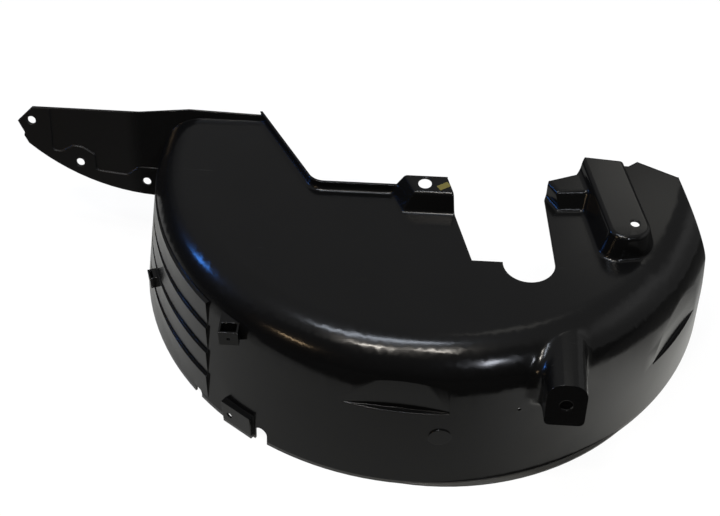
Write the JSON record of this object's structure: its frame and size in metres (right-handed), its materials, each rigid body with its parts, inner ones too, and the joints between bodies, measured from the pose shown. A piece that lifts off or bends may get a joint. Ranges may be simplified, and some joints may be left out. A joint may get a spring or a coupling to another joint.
{
  "type": "wheel arch liner",
  "caption": "Moulded inner wheel arch liner: half-round arch wall with a flat inner wall, strut notch, fastening tabs, ribbed front panel, screw nose and a side wing.",
  "frame": {"origin": "middle of the liner's box, on the plane of the outboard edge that it rests on", "axes": "+X towards the rear of the car, away from the wing; -Y towards the roof side of the arch; +Z inboard, along the wheel axis"},
  "size_m": [0.8466, 0.3882, 0.225],
  "materials": {
    "black_plastic": "satin",
    "sticker_paper": "matte"
  },
  "bodies": {
    "root": {"arch_liner": "black_plastic", "inspection_sticker": "sticker_paper"}
  },
  "joints": []
}
